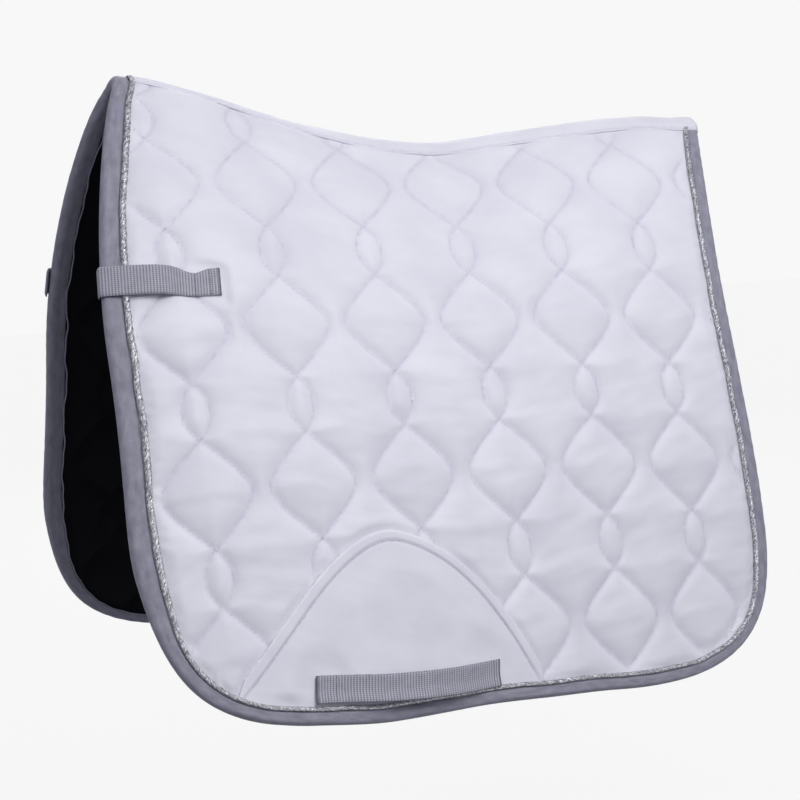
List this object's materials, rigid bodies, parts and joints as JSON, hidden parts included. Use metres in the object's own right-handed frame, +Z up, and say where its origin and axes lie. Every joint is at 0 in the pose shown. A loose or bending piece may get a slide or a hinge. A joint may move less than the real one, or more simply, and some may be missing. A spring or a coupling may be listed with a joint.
{
  "type": "saddle pad",
  "caption": "Padded saddle pad for a horse, draped as worn: quilted white flaps joined along a contoured spine, with grey edge binding, silver piping and webbing loops.",
  "frame": {"origin": "middle of the underside of the spine at its lowest point, where the pad rests on the horse's back", "axes": "+X towards the horse's head, +Y to the horse's left, +Z up"},
  "size_m": [0.634, 0.4648, 0.5618],
  "materials": {
    "white_satin": "soft satin sheen over quilting",
    "wadding": "matt fleece",
    "dark_lining": "matt woven",
    "grey_binding": "ribbed tape with a slight sheen",
    "silver_cord": "twisted cord with metallic thread",
    "grey_webbing": "ribbed woven webbing",
    "grey_thread": "spun thread"
  },
  "bodies": {
    "spine": {"spine_tape": "white_satin", "spine_padding": "wadding", "spine_lining_tape": "dark_lining", "spine_edge_binding": "grey_binding", "spine_piping_cord": "silver_cord"},
    "left_flap": {"left_outer_panel": "white_satin", "left_padding": "wadding", "left_lining": "dark_lining", "left_edge_binding": "grey_binding", "left_piping_cord": "silver_cord", "left_girth_patch": "white_satin", "left_girth_loop": "grey_webbing", "left_girth_loop_stitch_row_front": "grey_thread", "left_girth_loop_stitch_row_rear": "grey_thread", "left_billet_strap": "grey_webbing", "left_billet_stitch_row_1": "grey_thread", "left_billet_stitch_row_2": "grey_thread"},
    "right_flap": {"right_outer_panel": "white_satin", "right_padding": "wadding", "right_lining": "dark_lining", "right_edge_binding": "grey_binding", "right_piping_cord": "silver_cord", "right_girth_patch": "white_satin", "right_girth_loop": "grey_webbing", "right_girth_loop_stitch_row_front": "grey_thread", "right_girth_loop_stitch_row_rear": "grey_thread", "right_billet_strap": "grey_webbing", "right_billet_stitch_row_1": "grey_thread", "right_billet_stitch_row_2": "grey_thread"}
  },
  "joints": [
    {"name": "left_flap_fold", "type": "hinge", "parent": "spine", "child": "left_flap", "pos_m": [0, 0.027, 0.028], "axis": [0.9962, 0, 0.0872], "range_deg": [-5, 30]},
    {"name": "right_flap_fold", "type": "hinge", "parent": "spine", "child": "right_flap", "pos_m": [0, -0.027, 0.028], "axis": [-0.9962, 0, -0.0872], "range_deg": [-5, 30]}
  ]
}
